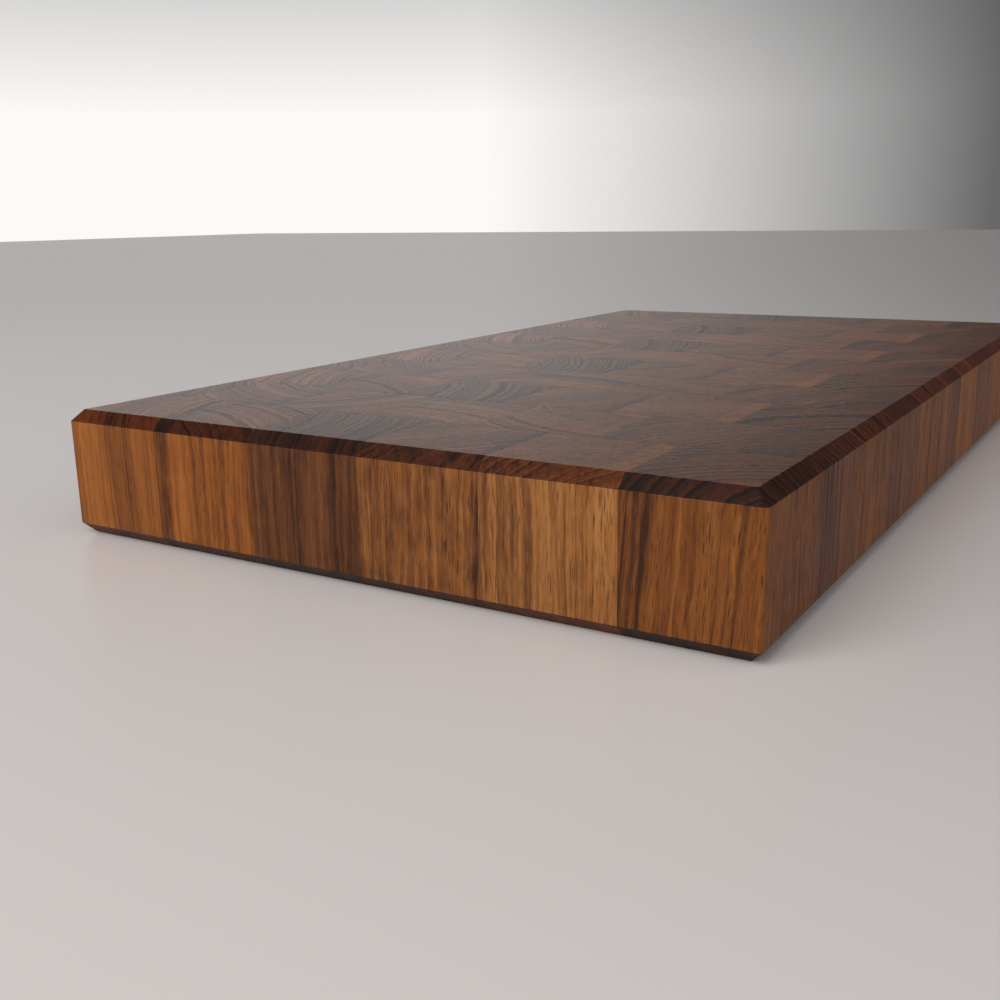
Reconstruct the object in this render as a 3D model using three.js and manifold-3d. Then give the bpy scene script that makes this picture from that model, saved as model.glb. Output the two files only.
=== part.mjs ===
// End-grain butcher's cutting board.
//
// Eleven rows of upright walnut blocks are glued face to face, so that the knife meets the
// ends of the grain. Every second row is shifted by about half a block, like brickwork.
// The top and bottom rims have 45-degree chamfers, and the four upright corners are eased.
//
// Millimetres. Z is up, the board rests on z = 0 and its middle is over the origin.
// X runs along the board's length, across the rows. Y runs along each row.

import * as THREE from "three";
import { mergeVertices } from "three/addons/utils/BufferGeometryUtils.js";
import Module from "manifold-3d";

// ---- driving dimensions ----
const THICKNESS = 50.8;
const ROW_DEPTH = 46; // along X, the thickness of the planks that the blocks were cut from
const ROW_COUNT = 11;
const BLOCK_WIDTH = 48.5; // along Y
const WHOLE_BLOCKS = 5; // in every row, between its two ends
const TRIMMED_BLOCK = 44.5; // the first block of an odd row
const CHAMFER = 4.5; // along each face, so at 45 degrees
const CORNER_EASE = 2; // radius of the four upright corners
const EASE_STEPS = 4; // facets on each eased corner

// An even row starts with a block cut to this width, and its last block gets what is left.
// The shift wanders a little, because the rows were pushed together by hand.
const CUT_BLOCK = { 2: 26.5, 4: 21, 6: 24, 8: 22, 10: 25.5 };

// Blocks that stand wholly inside the board and are joined into one solid, counted from -Y,
// so that the parts list holds at most 60. All blocks at the rim are solids of their own.
const JOINED = {
  2: [[2, 3], [5, 6]],
  4: [[2, 3], [5, 6]],
  6: [[2, 3], [4, 5, 6]],
  8: [[2, 3], [5, 6]],
  10: [[2, 3], [5, 6]],
};

const WIDTH = TRIMMED_BLOCK + WHOLE_BLOCKS * BLOCK_WIDTH;
const LENGTH = ROW_COUNT * ROW_DEPTH;

// ---- wood ----
const WALNUT = {
  dark: 0x4a2f22,
  brown: 0x6b452d,
  amber: 0x7d4b29,
  tan: 0x8f6140,
};

// The rows are slices of two glued panels, so the tones repeat in every second row, from -Y.
const ODD_ROW_TONES = ["brown", "tan", "amber", "dark", "amber", "tan"];
const EVEN_ROW_TONES = ["dark", "brown", "amber", "tan", "amber", "brown", "brown"];

function walnut(tone) {
  return new THREE.MeshStandardMaterial({ color: WALNUT[tone], roughness: 0.45, metalness: 0 });
}

// ---- solids ----
const manifold = await Module();
manifold.setup();

function toSolid(geometry) {
  geometry.deleteAttribute("normal");
  geometry.deleteAttribute("uv");
  const merged = mergeVertices(geometry);
  return new manifold.Manifold(new manifold.Mesh({
    numProp: 3,
    vertProperties: merged.attributes.position.array,
    triVerts: new Uint32Array(merged.index.array),
  }));
}

function toGeometry(solid) {
  const mesh = solid.getMesh();
  const geometry = new THREE.BufferGeometry();
  geometry.setAttribute("position", new THREE.BufferAttribute(mesh.vertProperties, 3));
  geometry.setIndex(new THREE.BufferAttribute(mesh.triVerts, 1));
  const faceted = geometry.toNonIndexed();
  faceted.computeVertexNormals();
  return faceted;
}

// A rectangle over the origin, with its corners rounded where a radius is given.
function rectangle(length, width, radius = 0) {
  const x = length / 2 - radius;
  const y = width / 2 - radius;
  const shape = new THREE.Shape();
  if (radius === 0) {
    return shape.moveTo(-x, -y).lineTo(x, -y).lineTo(x, y).lineTo(-x, y);
  }
  const quarter = Math.PI / 2;
  shape.absarc(x, y, radius, 0, quarter);
  shape.absarc(-x, y, radius, quarter, 2 * quarter);
  shape.absarc(-x, -y, radius, 2 * quarter, 3 * quarter);
  shape.absarc(x, -y, radius, 3 * quarter, 4 * quarter);
  return shape;
}

// The outside of the whole board: a slab with chamfered rims, cut to the eased corners.
function boardShape() {
  const chamfered = new THREE.ExtrudeGeometry(
    rectangle(LENGTH - 2 * CHAMFER, WIDTH - 2 * CHAMFER),
    { depth: THICKNESS - 2 * CHAMFER, bevelThickness: CHAMFER, bevelSize: CHAMFER, bevelSegments: 1 },
  );
  chamfered.translate(0, 0, CHAMFER);
  const eased = new THREE.ExtrudeGeometry(
    rectangle(LENGTH, WIDTH, CORNER_EASE),
    { depth: THICKNESS, bevelEnabled: false, curveSegments: EASE_STEPS },
  );
  return toSolid(chamfered).intersect(toSolid(eased));
}

// The stretch of one row between two cuts, as the board's outside leaves it.
function blockGeometry(board, row, start, end) {
  const block = new THREE.BoxGeometry(ROW_DEPTH, end - start, THICKNESS);
  block.translate(
    (row - 0.5) * ROW_DEPTH - LENGTH / 2,
    (start + end) / 2 - WIDTH / 2,
    THICKNESS / 2,
  );
  return toGeometry(toSolid(block).intersect(board));
}

// ---- layout ----
// Where a row is cut, measured from the board's -Y side.
function rowCuts(row) {
  const isOdd = row % 2 === 1;
  const first = isOdd ? TRIMMED_BLOCK : CUT_BLOCK[row];
  const cuts = [0];
  for (let i = 0; i <= WHOLE_BLOCKS; i += 1) {
    cuts.push(first + i * BLOCK_WIDTH);
  }
  if (!isOdd) {
    cuts.push(WIDTH);
  }
  return cuts;
}

// The row's solids as lists of block numbers, most of them with one block.
function rowPieces(row, blockCount) {
  const pieces = [];
  let number = 1;
  while (number <= blockCount) {
    const piece = (JOINED[row] ?? []).find((group) => group[0] === number) ?? [number];
    pieces.push(piece);
    number += piece.length;
  }
  return pieces;
}

function pieceName(row, piece) {
  const word = piece.length === 1 ? "block" : "blocks";
  return `row_${String(row).padStart(2, "0")}_${word}_${piece.join("_")}`;
}

// ---- the board ----
const board = boardShape();
const cuttingBoard = new THREE.Group();

for (let row = 1; row <= ROW_COUNT; row += 1) {
  const cuts = rowCuts(row);
  const tones = row % 2 === 1 ? ODD_ROW_TONES : EVEN_ROW_TONES;
  for (const piece of rowPieces(row, cuts.length - 1)) {
    const start = cuts[piece[0] - 1];
    const end = cuts[piece.at(-1)];
    const mesh = new THREE.Mesh(blockGeometry(board, row, start, end), walnut(tones[piece[0] - 1]));
    mesh.name = pieceName(row, piece);
    cuttingBoard.add(mesh);
  }
}

export default cuttingBoard;
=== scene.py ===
"""An end-grain walnut cutting board on a pale table top, in soft light from the left.

Metres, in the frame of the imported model: +Z up, the board's middle over the origin, its long
side along X. Each upright block of the board is a piece of its own, with rounded arrises and
a solid wood material whose growth rings, fibres and pores run through all its faces.
"""

import math
import random
import re
from typing import NamedTuple

import bpy
import numpy as np
from mathutils import Matrix, Vector


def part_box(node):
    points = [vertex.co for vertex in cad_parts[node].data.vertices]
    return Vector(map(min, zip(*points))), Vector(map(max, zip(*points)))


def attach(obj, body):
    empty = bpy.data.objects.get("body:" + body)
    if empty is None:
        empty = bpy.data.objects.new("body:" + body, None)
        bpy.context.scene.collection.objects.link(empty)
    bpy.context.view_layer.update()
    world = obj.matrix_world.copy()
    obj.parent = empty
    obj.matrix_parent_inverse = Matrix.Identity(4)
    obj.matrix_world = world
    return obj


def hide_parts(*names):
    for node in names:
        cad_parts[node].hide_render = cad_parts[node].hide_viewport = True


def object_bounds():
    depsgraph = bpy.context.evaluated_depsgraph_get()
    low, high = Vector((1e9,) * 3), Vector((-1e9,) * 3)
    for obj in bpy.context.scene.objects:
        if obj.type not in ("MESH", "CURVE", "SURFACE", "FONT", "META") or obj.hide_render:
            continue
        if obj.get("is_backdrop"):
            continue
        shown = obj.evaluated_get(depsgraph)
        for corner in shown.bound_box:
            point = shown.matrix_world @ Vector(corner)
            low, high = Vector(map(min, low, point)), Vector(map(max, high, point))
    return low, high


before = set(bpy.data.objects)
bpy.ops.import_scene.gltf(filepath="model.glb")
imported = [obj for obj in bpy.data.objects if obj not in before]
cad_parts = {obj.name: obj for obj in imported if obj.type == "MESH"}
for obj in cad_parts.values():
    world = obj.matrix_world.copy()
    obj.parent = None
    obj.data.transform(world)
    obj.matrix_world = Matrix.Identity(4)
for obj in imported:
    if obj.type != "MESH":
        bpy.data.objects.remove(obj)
cad_low, cad_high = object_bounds()

MM = 0.001

# ---- sizes that the frame's boxes don't give ----
CHAMFER = 4.5 * MM
CORNER_EASE = 2 * MM  # radius of the board's four upright corners
SHARPEST_EASE = 0.2 * MM  # radius that is left of it inside the chamfers
ARRIS = 0.45 * MM  # radius of the sanded edges along the chamfers
ARC_STEPS = 4
GRID = 6 * MM  # spacing of the mesh on flat faces
SEAM_DEPTH = 0.03 * MM  # how far a block's edge at a glue seam lies below its face
SEAM_WIDTH = 0.25 * MM

THICKNESS = cad_high.z - cad_low.z


# ---- meshes ----
def arc(corner, came, goes, radius):
    """Points that round off a corner of an outline, from direction came to direction goes."""
    turn = came.angle(goes)
    reach = radius * math.tan(turn / 2)
    start = corner - came * reach
    inward = (goes - came * came.dot(goes)).normalized()
    points = []
    for step in range(ARC_STEPS + 1):
        angle = turn * step / ARC_STEPS
        along = radius * math.sin(angle)
        aside = radius * (1 - math.cos(angle))
        points.append(start + came * along + inward * aside)
    return points


def rim_profile():
    """(inset, height) pairs up the outside of the board, from its underside to its top."""
    outline = [
        Vector((2 * CHAMFER, 0)),
        Vector((CHAMFER, 0)),
        Vector((0, CHAMFER)),
        Vector((0, THICKNESS - CHAMFER)),
        Vector((CHAMFER, THICKNESS)),
        Vector((2 * CHAMFER, THICKNESS)),
    ]
    profile = []
    for before, corner, after in zip(outline, outline[1:], outline[2:]):
        came = (corner - before).normalized()
        goes = (after - corner).normalized()
        profile += arc(corner, came, goes, ARRIS)
    # the upright face between the chamfers gets evenly spaced levels of its own
    middle = len(profile) // 2
    low, high = profile[middle - 1], profile[middle]
    count = round((high.y - low.y) / GRID)
    levels = [low.lerp(high, i / count) for i in range(1, count)]
    return profile[:middle] + levels + profile[middle:]


def seam_profile():
    """The same for a block inside the board, whose four sides are plain."""
    count = round(THICKNESS / GRID)
    return [Vector((0, THICKNESS * i / count)) for i in range(count + 1)]


def stations(low, high, low_is_rim, high_is_rim, ease, count):
    """Where the mesh lines cross one side of a block, close together at its ends."""
    rounding = [i * ease / ARC_STEPS for i in range(ARC_STEPS + 1)]
    start = rounding if low_is_rim else [0, SEAM_WIDTH]
    end = rounding if high_is_rim else [0, SEAM_WIDTH]
    inner = np.linspace(low + start[-1], high - end[-1], count + 1)[1:-1]
    return [low + d for d in start] + list(inner) + [high - d for d in reversed(end)]


def eased(x, y, corners, ease):
    """Moves a point near one of the board's upright corners onto or inside its rounding."""
    for corner, inward in corners:
        centre = corner + inward * ease
        dx, dy = x - centre.x, y - centre.y
        if dx * inward.x < 0 and dy * inward.y < 0 and max(abs(dx), abs(dy)) <= ease * 1.0001:
            share = max(abs(dx), abs(dy)) / math.hypot(dx, dy)
            return centre.x + dx * share, centre.y + dy * share
    return x, y


def block_mesh(name, low, high, rim):
    """A block between two corners of its box. rim tells which of its sides are outside ones."""
    profile = rim_profile() if any(rim.values()) else seam_profile()
    count_x = max(2, round((high.x - low.x) / GRID))
    count_y = max(2, round((high.y - low.y) / GRID))
    levels = []
    for inset, height in profile:
        x0 = low.x + inset * rim["-x"]
        x1 = high.x - inset * rim["+x"]
        y0 = low.y + inset * rim["-y"]
        y1 = high.y - inset * rim["+y"]
        ease = max(CORNER_EASE - inset, SHARPEST_EASE)
        xs = stations(x0, x1, rim["-x"], rim["+x"], ease, count_x)
        ys = stations(y0, y1, rim["-y"], rim["+y"], ease, count_y)
        corners = [
            (Vector((x, y)), Vector((toward_x, toward_y)))
            for x, side_x, toward_x in ((x0, "-x", 1), (x1, "+x", -1))
            for y, side_y, toward_y in ((y0, "-y", 1), (y1, "+y", -1))
            if rim[side_x] and rim[side_y]
        ]
        levels.append((height, xs, ys, corners, ease))

    nx, ny = len(levels[0][1]) - 1, len(levels[0][2]) - 1
    border = (
        [(i, 0) for i in range(nx)]
        + [(nx, j) for j in range(ny)]
        + [(i, ny) for i in range(nx, 0, -1)]
        + [(0, j) for j in range(ny, 0, -1)]
    )
    seam_x = {0: not rim["-x"], nx: not rim["+x"]}
    seam_y = {0: not rim["-y"], ny: not rim["+y"]}
    vertices = []

    def place(i, j, level):
        height, xs, ys, corners, ease = level
        x, y = eased(xs[i], ys[j], corners, ease)
        if seam_x.get(i) or seam_y.get(j):
            if height > THICKNESS - CHAMFER / 4:
                height -= SEAM_DEPTH
            if height < CHAMFER / 4:
                height += SEAM_DEPTH
        vertices.append((x, y, cad_low.z + height))
        return len(vertices) - 1

    loops = [{spot: place(*spot, level) for spot in border} for level in levels]
    faces = []
    for below, above in zip(loops, loops[1:]):
        for spot, following in zip(border, border[1:] + border[:1]):
            faces.append((below[spot], below[following], above[following], above[spot]))
    for loop, level, is_top in ((loops[0], levels[0], False), (loops[-1], levels[-1], True)):
        grid = dict(loop)
        for i in range(1, nx):
            for j in range(1, ny):
                grid[i, j] = place(i, j, level)
        for i in range(nx):
            for j in range(ny):
                face = (grid[i, j], grid[i + 1, j], grid[i + 1, j + 1], grid[i, j + 1])
                faces.append(face if is_top else face[::-1])

    mesh = bpy.data.meshes.new(name)
    mesh.from_pydata(vertices, [], faces)
    mesh.polygons.foreach_set("use_smooth", [True] * len(mesh.polygons))
    mesh.set_sharp_from_angle(angle=math.radians(30))
    return mesh


# ---- node trees ----
class Graph:
    """Short names for building a shader tree."""

    def __init__(self, tree):
        self.tree = tree

    def node(self, kind, **settings):
        node = self.tree.nodes.new(kind)
        for name, value in settings.items():
            setattr(node, name, value)
        return node

    def put(self, socket, value):
        if isinstance(value, bpy.types.NodeSocket):
            self.tree.links.new(value, socket)
        else:
            socket.default_value = value

    def math(self, operation, *values, clamp=False):
        node = self.node("ShaderNodeMath", operation=operation, use_clamp=clamp)
        for socket, value in zip(node.inputs, values):
            self.put(socket, value)
        return node.outputs[0]

    def vector(self, operation, *values):
        node = self.node("ShaderNodeVectorMath", operation=operation)
        for socket, value in zip(node.inputs, values):
            self.put(socket, value)
        return node.outputs["Vector"]

    def scaled(self, vector, factor):
        node = self.node("ShaderNodeVectorMath", operation="SCALE")
        self.put(node.inputs[0], vector)
        self.put(node.inputs["Scale"], factor)
        return node.outputs["Vector"]

    def dot(self, vector, direction):
        node = self.node("ShaderNodeVectorMath", operation="DOT_PRODUCT")
        self.put(node.inputs[0], vector)
        self.put(node.inputs[1], direction)
        return node.outputs["Value"]

    def length(self, vector):
        node = self.node("ShaderNodeVectorMath", operation="LENGTH")
        self.put(node.inputs[0], vector)
        return node.outputs["Value"]

    def split(self, vector):
        node = self.node("ShaderNodeSeparateXYZ")
        self.put(node.inputs[0], vector)
        return node.outputs

    def joined(self, x, y, z):
        node = self.node("ShaderNodeCombineXYZ")
        for socket, value in zip(node.inputs, (x, y, z)):
            self.put(socket, value)
        return node.outputs[0]

    def noise(self, vector, w, detail=2.0, roughness=0.5):
        node = self.node("ShaderNodeTexNoise", noise_dimensions="4D")
        self.put(node.inputs["Vector"], vector)
        self.put(node.inputs["W"], w)
        self.put(node.inputs["Scale"], 1.0)
        self.put(node.inputs["Detail"], detail)
        self.put(node.inputs["Roughness"], roughness)
        return node.outputs

    def wave(self, w, detail=1.0):
        """Noise along one number."""
        node = self.node("ShaderNodeTexNoise", noise_dimensions="1D")
        self.put(node.inputs["W"], w)
        self.put(node.inputs["Scale"], 1.0)
        self.put(node.inputs["Detail"], detail)
        return node.outputs[0]

    def cells(self, vector):
        node = self.node("ShaderNodeTexVoronoi")
        self.put(node.inputs["Vector"], vector)
        self.put(node.inputs["Scale"], 1.0)
        return node.outputs

    def between(self, value, start, end, low=0.0, high=1.0, smooth=True):
        """value moved from start..end to low..high, and held there outside it."""
        kind = "SMOOTHSTEP" if smooth else "LINEAR"
        node = self.node("ShaderNodeMapRange", interpolation_type=kind)
        for socket, number in zip(node.inputs, (value, start, end, low, high)):
            self.put(socket, number)
        return node.outputs[0]

    def mix(self, factor, a, b, blend="MIX"):
        node = self.node("ShaderNodeMix", data_type="RGBA", blend_type=blend)
        self.put(node.inputs["Factor"], factor)
        self.put(node.inputs["A"], a)
        self.put(node.inputs["B"], b)
        return node.outputs["Result"]

    def ramp(self, value, stops):
        node = self.node("ShaderNodeValToRGB")
        elements = node.color_ramp.elements
        while len(elements) < len(stops):
            elements.new(0.5)
        for element, (position, level) in zip(elements, stops):
            element.position = position
            element.color = (level, level, level, 1)
        self.put(node.inputs[0], value)
        return node.outputs[0]


# ---- walnut ----
WALNUT_INPUTS = [
    ("Centre", "NodeSocketVector"),  # the block's middle, in metres
    ("Seam Low", "NodeSocketVector"),  # its glued sides, in mm from there
    ("Seam High", "NodeSocketVector"),
    ("Pith", "NodeSocketVector"),  # the middle of the tree, in mm from there
    ("Lean", "NodeSocketVector"),  # sideways run of the grain per mm of height
    ("Ring Width", "NodeSocketFloat"),  # mm
    ("Seed", "NodeSocketFloat"),
    ("Dark", "NodeSocketColor"),
    ("Middle", "NodeSocketColor"),
    ("Light", "NodeSocketColor"),
    ("Strip Start", "NodeSocketFloat"),  # a strip along one side of the plank, mm across the row
    ("Strip End", "NodeSocketFloat"),
    ("Strip", "NodeSocketFloat"),  # how much lighter it is, or darker if below zero
    ("Slope", "NodeSocketFloat"),  # painted light and shade on the sawn slopes: how light they are
    ("Rings", "NodeSocketFloat"),  # how strong each kind of figure is
    ("Bands", "NodeSocketFloat"),
    ("Fibre", "NodeSocketFloat"),
    ("Pores", "NodeSocketFloat"),
    ("Mottle", "NodeSocketFloat"),
]
FIGURE_OUTPUTS = [
    ("Color", "NodeSocketColor"),
    ("Roughness", "NodeSocketFloat"),
    ("Height", "NodeSocketFloat"),
]
# End grain drinks oil, which darkens it. The sawn slopes are painted darker than the flat top by their
# tilt, and lighter or darker block by block: that part is painted shade and painted light.
SOAKED_TOP = (0.58, 0.46, 0.38, 1)
SOAKED_AND_SHADED_SLOPE = (0.28, 0.17, 0.12)
FIRST_ROW_SLOPE_SHADING = (0.6, 1.2, 0.95, 1.0, 0.7, 1.1)  # painted light and shade on the first row's slopes, block by block
# painted light on the slopes of every other row
OTHER_SLOPE_SHADING = 1.5
PORE_COLOR = (0.026, 0.009, 0.005, 1)
GLUE_COLOR = (0.01, 0.006, 0.004, 1)


def walnut_figure():
    """The node group that holds the wood's pattern, the same on every face of a block."""
    tree = bpy.data.node_groups.new("walnut_figure", "ShaderNodeTree")
    for name, kind in WALNUT_INPUTS:
        tree.interface.new_socket(name, in_out="INPUT", socket_type=kind)
    for name, kind in FIGURE_OUTPUTS:
        tree.interface.new_socket(name, in_out="OUTPUT", socket_type=kind)
    g = Graph(tree)
    given = g.node("NodeGroupInput").outputs
    seed = given["Seed"]

    # millimetres from the block's middle
    place = g.node("ShaderNodeTexCoord").outputs["Object"]
    spot = g.scaled(g.vector("SUBTRACT", place, given["Centre"]), 1000.0)
    height = g.split(spot)[2]

    # the grain leans, and wanders slowly sideways
    wander = g.noise(g.vector("MULTIPLY", spot, (0.03, 0.03, 0.012)), seed, 2.0)["Color"]
    wander = g.scaled(g.vector("SUBTRACT", wander, (0.5, 0.5, 0.5)), 5.0)
    waves = g.noise(g.vector("MULTIPLY", spot, (0.15, 0.15, 0.075)), seed, 2.0)["Color"]
    wander = g.vector("ADD", wander, g.scaled(g.vector("SUBTRACT", waves, (0.5, 0.5, 0.5)), 1.6))
    grain = g.vector("ADD", g.vector("ADD", spot, g.scaled(given["Lean"], height)), wander)
    x, y, _ = g.split(grain)
    across = g.joined(x, y, 0.0)

    def along_grain(side, length):
        """Coordinates for a pattern whose cells are so wide and long, in mm."""
        return g.joined(
            g.math("DIVIDE", x, side), g.math("DIVIDE", y, side), g.math("DIVIDE", height, length)
        )

    # growth rings: light where a ring starts, darker to its end
    radius = g.length(g.vector("SUBTRACT", across, given["Pith"]))
    uneven = g.wave(g.math("MULTIPLY_ADD", radius, 0.09, seed))
    ripple = g.noise(g.scaled(across, 0.45), seed, 2.0)[0]
    phase = g.math("DIVIDE", radius, given["Ring Width"])
    phase = g.math("MULTIPLY_ADD", uneven, 2.6, phase)
    phase = g.math("MULTIPLY_ADD", ripple, 0.35, phase)
    share = g.math("FRACT", phase)
    ring = g.ramp(share, [(0.0, 1.0), (0.14, 0.15), (0.3, 0.25), (0.7, 0.65), (1.0, 1.0)])
    finer = g.math("FRACT", g.math("MULTIPLY", phase, 2.0))
    finer = g.ramp(finer, [(0.0, 1.0), (0.25, 0.0), (0.7, 0.4), (1.0, 1.0)])

    # broad bands of darker and lighter heartwood that follow the rings
    band = g.wave(g.math("MULTIPLY_ADD", radius, 0.055, g.math("MULTIPLY", seed, 3.7)), 2.0)
    band = g.between(band, 0.32, 0.68)

    # fibres and fine streaks along the grain, and a soft mottle across it
    fine = g.between(g.noise(along_grain(0.32, 11.0), seed, 4.0, 0.65)[0], 0.3, 0.7, smooth=False)
    streak = g.between(g.noise(along_grain(1.7, 55.0), seed, 3.0)[0], 0.3, 0.7)
    mottle = g.between(g.noise(along_grain(5.5, 8.0), seed, 3.0)[0], 0.3, 0.7, smooth=False)

    # pores: thin tubes, seen as dashes on the sides and as dots on the end grain
    shift = g.joined(seed, 0.0, 0.0)
    wide = g.cells(g.vector("ADD", along_grain(0.90, 15.0), shift))[0]
    wide = g.between(wide, 0.12, 0.30, 0.9, 0.0)
    thin = g.cells(g.vector("ADD", along_grain(0.50, 8.0), shift))[0]
    thin = g.between(thin, 0.18, 0.36, 0.65, 0.0)
    crowded = g.between(g.noise(g.scaled(across, 0.30), seed, 2.0)[0], 0.30, 0.55, 0.3, 1.0)
    early = g.between(share, 0.2, 0.9, 1.0, 0.4)
    pore = g.math("MULTIPLY", g.math("MAXIMUM", wide, thin), g.math("MULTIPLY", crowded, early))

    # how much of the end grain the face shows: none on the sides, all on the top
    normal = g.split(g.node("ShaderNodeNewGeometry").outputs["Normal"])[2]
    end = g.between(g.math("ABSOLUTE", normal), 0.2, 0.72)

    # a darker or lighter strip along one side of the plank
    inside = g.math("SUBTRACT", y, given["Strip Start"])
    inside = g.between(g.math("MINIMUM", inside, g.math("SUBTRACT", given["Strip End"], y)), -1.0, 1.5)

    # 0 to 1 from the dark to the middle tone, 1 to 2 on to the light one
    weight = g.math("MULTIPLY", given["Rings"], g.math("MULTIPLY_ADD", end, 0.85, 0.45))
    tone = g.math("MULTIPLY", g.math("SUBTRACT", 0.45, ring), weight)
    weight = g.math("MULTIPLY", given["Rings"], g.math("MULTIPLY_ADD", end, 0.50, 0.10))
    tone = g.math("MULTIPLY_ADD", g.math("SUBTRACT", 0.45, finer), weight, tone)
    tone = g.math("MULTIPLY_ADD", g.math("SUBTRACT", band, 0.5), given["Bands"], tone)
    tone = g.math("MULTIPLY_ADD", g.math("SUBTRACT", fine, 0.5), given["Fibre"], tone)
    tone = g.math("MULTIPLY_ADD", g.math("SUBTRACT", streak, 0.5), given["Fibre"], tone)
    tone = g.math("MULTIPLY_ADD", g.math("SUBTRACT", mottle, 0.5), given["Mottle"], tone)
    tone = g.math("MULTIPLY_ADD", inside, given["Strip"], tone)
    tone = g.math("MULTIPLY", g.math("ADD", tone, 0.5), 2.0)
    color = g.mix(g.math("MINIMUM", tone, 1.0, clamp=True), given["Dark"], given["Middle"])
    color = g.mix(g.math("SUBTRACT", tone, 1.0, clamp=True), color, given["Light"])
    color = g.mix(g.math("MULTIPLY", pore, given["Pores"]), color, PORE_COLOR)

    # end grain darkened by oil: one tint on the flat faces, another on the slopes, whose extra
    # darkness and lightness factor are painted shade and painted light
    flat = g.between(g.math("ABSOLUTE", normal), 0.75, 0.95)
    shaded_slope = g.scaled(SOAKED_AND_SHADED_SLOPE, given["Slope"])
    soaked_and_shaded = g.mix(1.0, color, g.mix(flat, shaded_slope, SOAKED_TOP), "MULTIPLY")
    color = g.mix(end, color, soaked_and_shaded)

    # the glue seams are hairlines
    low = g.split(g.vector("SUBTRACT", spot, given["Seam Low"]))
    high = g.split(g.vector("SUBTRACT", given["Seam High"], spot))
    nearest = g.math("MINIMUM", g.math("MINIMUM", low[0], low[1]), g.math("MINIMUM", high[0], high[1]))
    seam = g.between(nearest, 0.04, 0.16, 0.55, 0.0)
    color = g.mix(seam, color, GLUE_COLOR)

    # the flat faces are smoother and shinier than the sides and slopes, and pores are dull
    rough = g.math("MULTIPLY_ADD", fine, 0.08, g.math("MULTIPLY_ADD", flat, -0.26, 0.46))
    rough = g.math("MULTIPLY_ADD", g.math("MULTIPLY", finer, flat), 0.05, rough)
    rough = g.math("MULTIPLY_ADD", pore, 0.2, rough)
    relief = g.math("MULTIPLY_ADD", finer, -0.06, g.math("MULTIPLY", fine, 0.25))
    relief = g.math("MULTIPLY_ADD", pore, -0.7, relief)
    relief = g.math("MULTIPLY", relief, g.math("MULTIPLY_ADD", flat, -0.82, 1.0))

    out = g.node("NodeGroupOutput").inputs
    g.put(out["Color"], color)
    g.put(out["Roughness"], rough)
    g.put(out["Height"], relief)
    return tree


# A plank's darkest and lightest wood, against its own middle tone.
DARKEST = (0.22, 0.21, 0.40)
LIGHTEST = (1.60, 1.85, 2.30)

class Plank(NamedTuple):
    slot: str
    tone: tuple  # colour of its middle wood
    pith: tuple  # middle of the tree, in mm from the block's middle
    lean: tuple  # sideways run of the grain per mm of height
    ring_width: float  # mm
    strip: tuple  # a strip along one side: its start and end in mm across the row, how light
    rings: float  # how strong each kind of figure is
    bands: float
    fibre: float
    pores: float
    mottle: float


# The planks of the two panels that the rows were sliced from, as they lie along a row from -Y.
DARK, BROWN, AMBER, TAN = "walnut_dark", "walnut_brown", "walnut_amber", "walnut_tan"
ODD_PANEL = [
    Plank(
        BROWN, (0.208, 0.062, 0.010), pith=(-52, -38), lean=(0.0, 0.06), ring_width=5.6,
        strip=(13, 60, -0.19), rings=0.8, bands=0.08, fibre=0.42, pores=0.95, mottle=0.15,
    ),
    Plank(
        TAN, (0.300, 0.110, 0.026), pith=(-105, -52), lean=(0.0, 0.01), ring_width=3.4,
        strip=(-60, -16.5, 0.22), rings=0.4, bands=0.2, fibre=0.5, pores=0.9, mottle=0.1,
    ),
    Plank(
        AMBER, (0.235, 0.078, 0.017), pith=(64, 70), lean=(0.02, 0.02), ring_width=4.6,
        strip=(-60, -20, -0.34), rings=0.35, bands=0.25, fibre=0.5, pores=1.0, mottle=0.35,
    ),
    Plank(
        DARK, (0.125, 0.038, 0.009), pith=(-30, 96), lean=(0.01, 0.02), ring_width=5.0,
        strip=(-60, -20.5, -0.3), rings=0.4, bands=0.35, fibre=0.42, pores=0.8, mottle=0.2,
    ),
    Plank(
        AMBER, (0.260, 0.076, 0.011), pith=(-88, 40), lean=(0.0, 0.01), ring_width=5.4,
        strip=(16.5, 60, -0.42), rings=0.4, bands=0.4, fibre=0.38, pores=0.7, mottle=0.12,
    ),
    Plank(
        TAN, (0.290, 0.088, 0.014), pith=(30, -84), lean=(0.01, -0.01), ring_width=6.5,
        strip=(18, 60, -0.12), rings=0.35, bands=0.35, fibre=0.28, pores=0.5, mottle=0.12,
    ),
]
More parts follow.
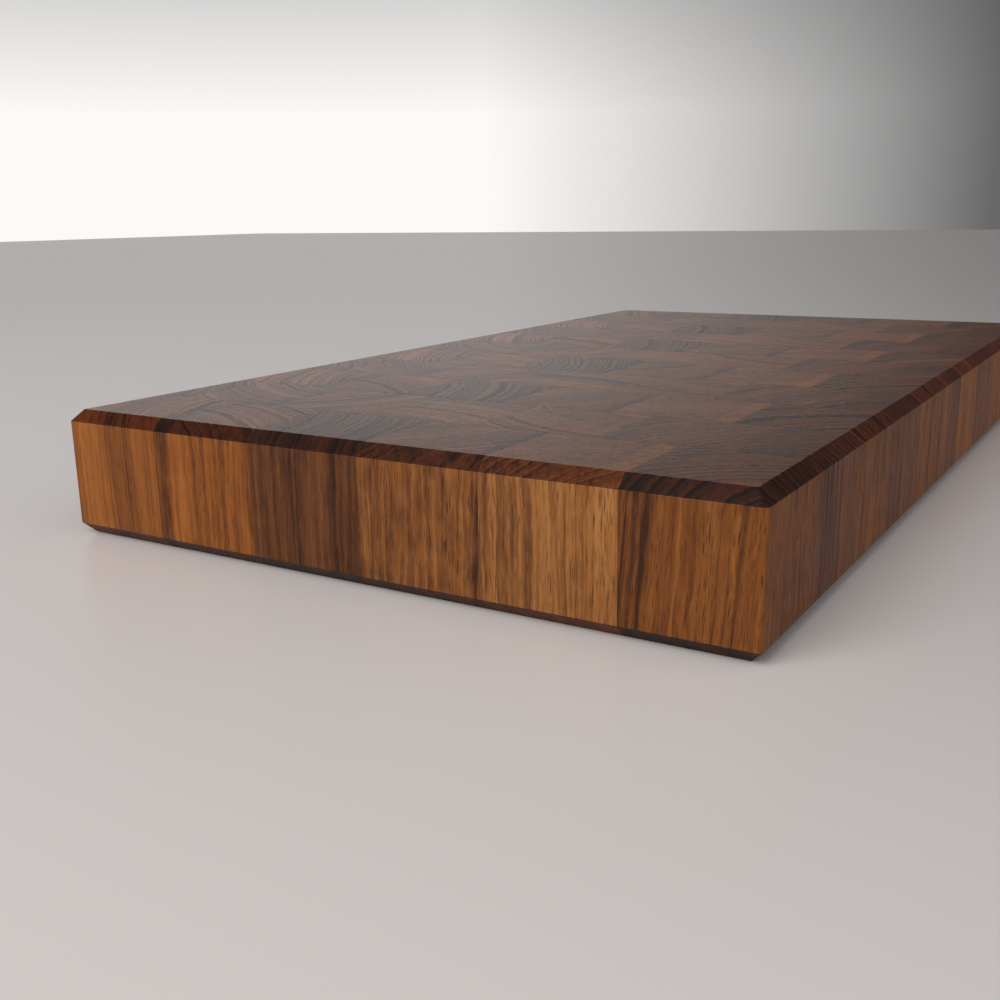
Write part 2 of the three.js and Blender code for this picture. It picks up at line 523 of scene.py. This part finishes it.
EVEN_PANEL = [
    Plank(
        DARK, (0.150, 0.046, 0.015), pith=(-64, -40), lean=(0.02, 0.0), ring_width=3.4,
        strip=(2, 5, 0.1), rings=0.8, bands=0.25, fibre=0.6, pores=0.65, mottle=0.2,
    ),
    Plank(
        BROWN, (0.200, 0.064, 0.013), pith=(-44, -72), lean=(0.0, 0.03), ring_width=4.2,
        strip=(18, 60, -0.2), rings=0.5, bands=0.35, fibre=0.4, pores=0.7, mottle=0.2,
    ),
    Plank(
        AMBER, (0.270, 0.090, 0.019), pith=(72, -30), lean=(0.01, 0.02), ring_width=4.8,
        strip=(-60, -18, 0.12), rings=0.4, bands=0.3, fibre=0.4, pores=0.65, mottle=0.2,
    ),
    Plank(
        TAN, (0.300, 0.110, 0.026), pith=(-96, 20), lean=(0.02, 0.01), ring_width=5.2,
        strip=(15, 60, -0.2), rings=0.4, bands=0.3, fibre=0.4, pores=0.6, mottle=0.2,
    ),
    Plank(
        AMBER, (0.250, 0.080, 0.016), pith=(50, 66), lean=(0.0, 0.02), ring_width=4.4,
        strip=(-6, 4, -0.12), rings=0.4, bands=0.35, fibre=0.4, pores=0.65, mottle=0.2,
    ),
    Plank(
        BROWN, (0.210, 0.066, 0.013), pith=(80, -40), lean=(0.01, 0.0), ring_width=3.8,
        strip=(-60, -17, -0.25), rings=0.5, bands=0.35, fibre=0.4, pores=0.7, mottle=0.2,
    ),
    Plank(
        BROWN, (0.190, 0.060, 0.013), pith=(-40, 58), lean=(0.0, 0.02), ring_width=4.6,
        strip=(8, 60, 0.15), rings=0.5, bands=0.4, fibre=0.4, pores=0.7, mottle=0.2,
    ),
]

# Painted light: the planks' wood is painted lighter row by row from the first row on, up to a limit.
# It stands in for the sheen that grows towards the far end.
FIRST_ROW_PAINTED_LIGHT = 0.77
PAINTED_LIGHT_PER_ROW = 0.05
MOST_PAINTED_LIGHT = 1.10


def tinted(color, factors):
    """A node colour: each channel times its factor."""
    return (*(channel * factor for channel, factor in zip(color, factors)), 1)


def walnut(name, plank, row, number, centre, seam_low, seam_high, draw):
    """The material of one block of a row, cut from its plank."""
    material = bpy.data.materials.new(name)
    material.use_nodes = True
    g = Graph(material.node_tree)
    shader = material.node_tree.nodes["Principled BSDF"]
    figure = g.node("ShaderNodeGroup", node_tree=figure_tree)
    # painted light that grows row by row, times a random tone of the block's own
    painted_light_and_tone = min(FIRST_ROW_PAINTED_LIGHT + PAINTED_LIGHT_PER_ROW * (row - 1), MOST_PAINTED_LIGHT)
    painted_light_and_tone *= draw.uniform(0.94, 1.06)
    middle = [channel * painted_light_and_tone for channel in plank.tone]
    pith = Vector(plank.pith) + Vector((draw.uniform(-5, 5), draw.uniform(-5, 5)))
    strip_start, strip_end, strip = plank.strip
    settings = {
        "Centre": centre,
        "Seam Low": seam_low / MM,
        "Seam High": seam_high / MM,
        "Pith": (*pith, 0),
        "Lean": (*plank.lean, 0),
        "Ring Width": plank.ring_width * draw.uniform(0.94, 1.06),
        "Seed": draw.uniform(0, 50),
        "Dark": tinted(middle, DARKEST),
        "Middle": (*middle, 1),
        "Light": tinted(middle, LIGHTEST),
        "Strip Start": strip_start,
        "Strip End": strip_end,
        "Strip": strip,
        "Slope": FIRST_ROW_SLOPE_SHADING[number - 1] if row == 1 else OTHER_SLOPE_SHADING,
        "Rings": plank.rings,
        "Bands": plank.bands,
        "Fibre": plank.fibre,
        "Pores": plank.pores,
        "Mottle": plank.mottle,
    }
    for word, value in settings.items():
        figure.inputs[word].default_value = value
    bump = g.node("ShaderNodeBump")
    bump.inputs["Strength"].default_value = 0.35
    bump.inputs["Distance"].default_value = 0.1 * MM
    g.put(bump.inputs["Height"], figure.outputs["Height"])
    g.put(shader.inputs["Base Color"], figure.outputs["Color"])
    g.put(shader.inputs["Roughness"], figure.outputs["Roughness"])
    g.put(shader.inputs["Normal"], bump.outputs["Normal"])
    shader.inputs["Specular IOR Level"].default_value = 0.18
    return material


# ---- blocks ----
OUT_OF_REACH = 1.0  # metres


def split_node(node):
    """(row, number, lowest corner, highest corner) of each block in a CAD node."""
    row, numbers = re.fullmatch(r"row_(\d+)_blocks?_([\d_]+)", node).groups()
    numbers = [int(n) for n in numbers.split("_")]
    low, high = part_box(node)
    width = (high.y - low.y) / len(numbers)
    for i, number in enumerate(numbers):
        start = Vector((low.x, low.y + i * width, low.z))
        end = Vector((high.x, low.y + (i + 1) * width, high.z))
        yield int(row), number, start, end


def touches(a, b):
    """Whether two places along an axis are the same."""
    return abs(a - b) < 0.01 * MM


def add_block(node, row, number, low, high, draw):
    """One block as its own piece, standing for its part of the CAD node."""
    rim = {
        "-x": touches(low.x, cad_low.x),
        "+x": touches(high.x, cad_high.x),
        "-y": touches(low.y, cad_low.y),
        "+y": touches(high.y, cad_high.y),
    }
    name = f"walnut_block_{row:02d}_{number}"
    panel = ODD_PANEL if row % 2 else EVEN_PANEL
    plank = panel[number - 1]
    centre = (low + high) / 2
    seam_low = low - centre
    seam_high = high - centre
    # an outside face has no glue seam, so its seam is put out of reach
    if rim["-x"]:
        seam_low.x = -OUT_OF_REACH
    if rim["-y"]:
        seam_low.y = -OUT_OF_REACH
    if rim["+x"]:
        seam_high.x = OUT_OF_REACH
    if rim["+y"]:
        seam_high.y = OUT_OF_REACH
    material = walnut(name, plank, row, number, centre, seam_low, seam_high, draw)
    piece = bpy.data.objects.new(name, block_mesh(name, low, high, rim))
    bpy.context.scene.collection.objects.link(piece)
    piece.data.materials.append(material)
    weighted = piece.modifiers.new("flat_faces", "WEIGHTED_NORMAL")
    weighted.keep_sharp = True
    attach(piece, "root")
    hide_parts(node)


# ---- studio ----
def add_camera():
    """Stands low in front of the near corner, as a person bending down to the board would."""
    near_corner = Vector((cad_low.x, cad_low.y, cad_low.z))
    data = bpy.data.cameras.new("camera")
    data.sensor_width = 36
    data.lens = 40.3
    camera = bpy.data.objects.new("camera", data)
    heading, down, roll = math.radians(31.98), math.radians(14.38), math.radians(-0.90)
    turned = (
        Matrix.Rotation(heading - math.pi / 2, 4, "Z")
        @ Matrix.Rotation(math.pi / 2 - down, 4, "X")
        @ Matrix.Rotation(roll, 4, "Z")
    )
    place = near_corner + Vector((-283.5, -92.3, 124.1)) * MM
    camera.matrix_world = Matrix.Translation(place) @ turned
    bpy.context.scene.collection.objects.link(camera)
    bpy.context.scene.camera = camera


def add_table_top():
    """A plain pale floor, a hair below the board so that the two faces don't coincide."""
    half = 6.0
    z = cad_low.z - 0.1 * MM
    corners = [(-half, -half, z), (half, -half, z), (half, half, z), (-half, half, z)]
    mesh = bpy.data.meshes.new("table_top")
    mesh.from_pydata(corners, [], [(0, 1, 2, 3)])
    floor = bpy.data.objects.new("table_top", mesh)
    bpy.context.scene.collection.objects.link(floor)
    material = bpy.data.materials.new("pale_stone")
    material.use_nodes = True
    shader = material.node_tree.nodes["Principled BSDF"]
    shader.inputs["Base Color"].default_value = (0.70, 0.665, 0.655, 1)
    shader.inputs["Roughness"].default_value = 0.28
    mesh.materials.append(material)
    floor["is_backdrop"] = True


def add_window():
    """The main light: large and soft, behind the camera to its left, halfway up."""
    data = bpy.data.lights.new("window", "AREA")
    data.shape = "SQUARE"
    data.size = 0.9
    data.energy = 10.2
    data.color = (1.0, 0.985, 0.965)
    window = bpy.data.objects.new("window", data)
    window.location = (-1.12, 0.14, 0.76)
    aim = Vector((-0.2, 0, 0)) - window.location
    window.rotation_euler = aim.to_track_quat("-Z", "Y").to_euler()
    bpy.context.scene.collection.objects.link(window)


def add_room():
    """A dim room: a pale band low down on the +Y side, which fades upwards and to the right as
    the camera sees it, and a broad soft light on the -X -Y side, behind the camera."""
    world = bpy.data.worlds.new("room")
    world.use_nodes = True
    g = Graph(world.node_tree)
    direction = g.node("ShaderNodeTexCoord").outputs["Generated"]
    height = g.split(direction)[2]
    low_down = g.between(height, 0.08, 0.35, 1.0, 0.0, smooth=False)
    ahead = g.between(g.dot(direction, (-0.17, 0.98, 0)), -0.02, 0.38, 0.09, 0.92, smooth=False)
    behind = g.between(g.dot(direction, (-0.64, -0.77, 0)), -0.5, 0.75, 0.0, 0.80)
    brightness = g.math("MAXIMUM", g.math("MULTIPLY", low_down, ahead), behind)
    brightness = g.math("ADD", brightness, 0.05)
    background = world.node_tree.nodes["Background"]
    g.put(background.inputs["Color"], g.mix(brightness, (0.0, 0.0, 0.0, 1), (1.0, 0.985, 0.975, 1)))
    bpy.context.scene.world = world


bpy.context.scene.view_settings.view_transform = "Standard"
add_camera()
figure_tree = walnut_figure()
draw = random.Random(7)
for node in sorted(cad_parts):
    for row, number, low, high in split_node(node):
        add_block(node, row, number, low, high, draw)
add_table_top()
add_window()
add_room()

low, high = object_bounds()
{"cad": [list(cad_low), list(cad_high)], "visual": [list(low), list(high)]}
